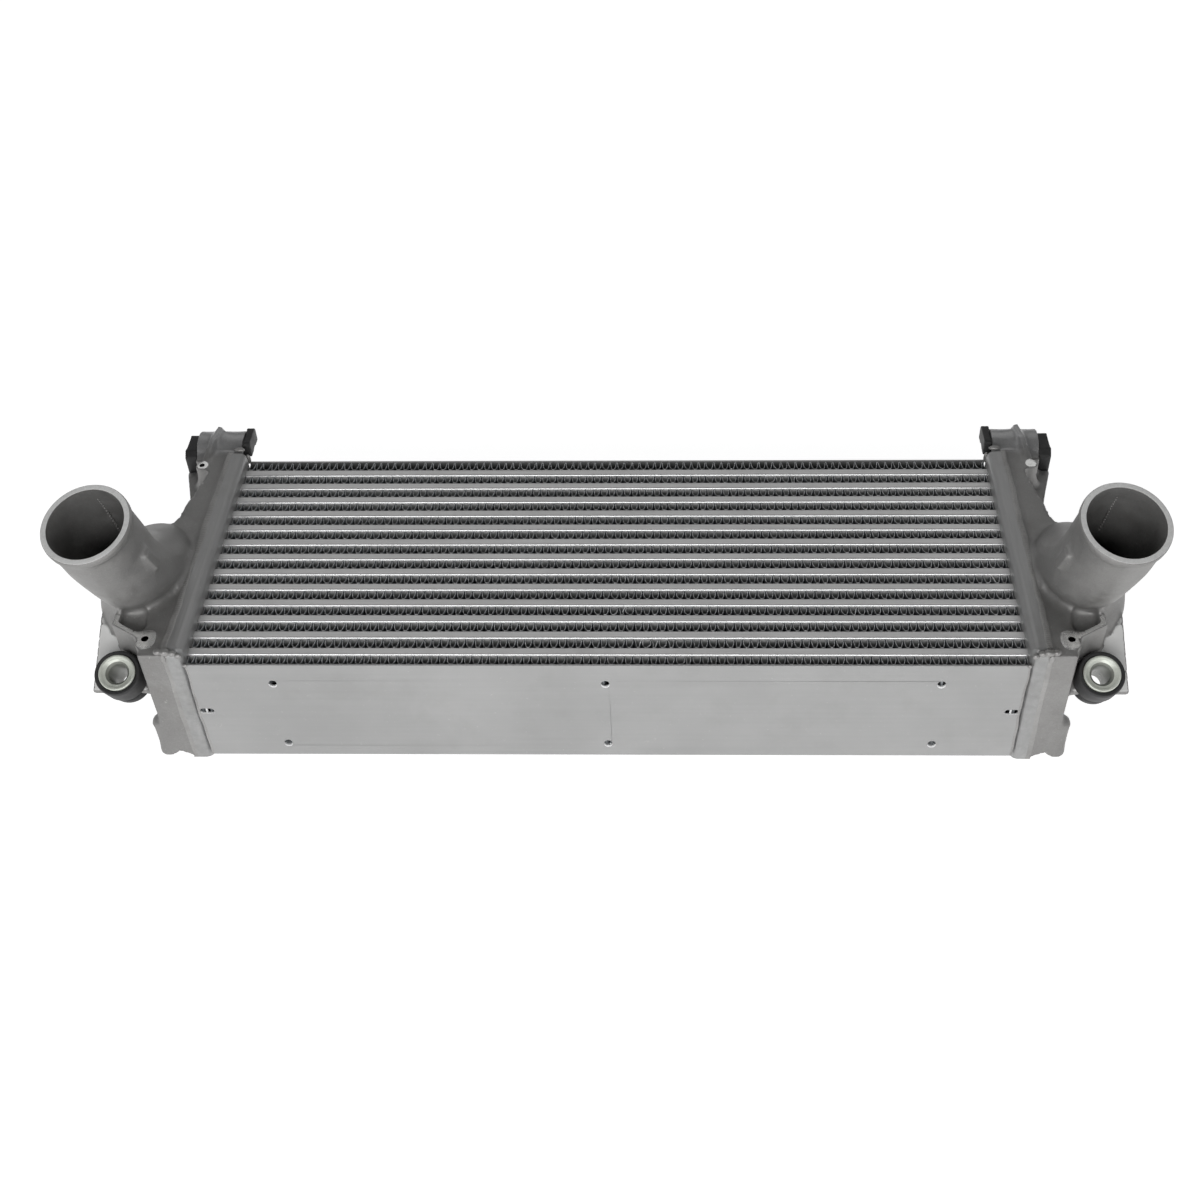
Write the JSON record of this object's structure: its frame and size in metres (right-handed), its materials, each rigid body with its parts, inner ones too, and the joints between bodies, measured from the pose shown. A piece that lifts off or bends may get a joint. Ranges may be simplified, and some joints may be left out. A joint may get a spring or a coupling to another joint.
{
  "type": "charge air cooler",
  "caption": "Aluminium charge air cooler: brazed core of flat tubes and folded fins, with cast end tanks whose hose spigots sweep up, rubber bushes and isolators.",
  "frame": {"origin": "under the middle of the whole part, on the surface that it lies on", "axes": "+X across the core to the right tank, +Y from the bottom side plate to the top one, +Z out of the core face that the spigots rise from"},
  "size_m": [0.7238, 0.2572, 0.2007],
  "materials": {
    "cast_aluminium": "as cast, lightly blasted",
    "plate_aluminium": "mill finish, brazed",
    "tube_aluminium": "mill finish, brazed",
    "fin_aluminium": "dull, brazed",
    "plated_steel": "zinc plated",
    "rubber": "matt moulded"
  },
  "bodies": {
    "root": {"charge_tube_01": "tube_aluminium", "turbulator_01": "fin_aluminium", "charge_tube_02": "tube_aluminium", "turbulator_02": "fin_aluminium", "charge_tube_03": "tube_aluminium", "turbulator_03": "fin_aluminium", "charge_tube_04": "tube_aluminium", "turbulator_04": "fin_aluminium", "charge_tube_05": "tube_aluminium", "turbulator_05": "fin_aluminium", "charge_tube_06": "tube_aluminium", "turbulator_06": "fin_aluminium", "charge_tube_07": "tube_aluminium", "turbulator_07": "fin_aluminium", "charge_tube_08": "tube_aluminium", "turbulator_08": "fin_aluminium", "charge_tube_09": "tube_aluminium", "turbulator_09": "fin_aluminium", "charge_tube_10": "tube_aluminium", "turbulator_10": "fin_aluminium", "charge_tube_11": "tube_aluminium", "turbulator_11": "fin_aluminium", "charge_tube_12": "tube_aluminium", "turbulator_12": "fin_aluminium", "charge_tube_13": "tube_aluminium", "turbulator_13": "fin_aluminium", "air_fin_01": "fin_aluminium", "air_fin_02": "fin_aluminium", "air_fin_03": "fin_aluminium", "air_fin_04": "fin_aluminium", "air_fin_05": "fin_aluminium", "air_fin_06": "fin_aluminium", "air_fin_07": "fin_aluminium", "air_fin_08": "fin_aluminium", "air_fin_09": "fin_aluminium", "air_fin_10": "fin_aluminium", "air_fin_11": "fin_aluminium", "air_fin_12": "fin_aluminium", "air_fin_13": "fin_aluminium", "air_fin_14": "fin_aluminium", "lower_side_plate": "plate_aluminium", "upper_side_plate": "plate_aluminium", "header_right": "plate_aluminium", "tank_right": "cast_aluminium", "lower_bush_right": "rubber", "bush_sleeve_right": "plated_steel", "upper_isolator_right": "rubber", "header_left": "plate_aluminium", "tank_left": "cast_aluminium", "lower_bush_left": "rubber", "bush_sleeve_left": "plated_steel", "upper_isolator_left": "rubber"}
  },
  "joints": []
}
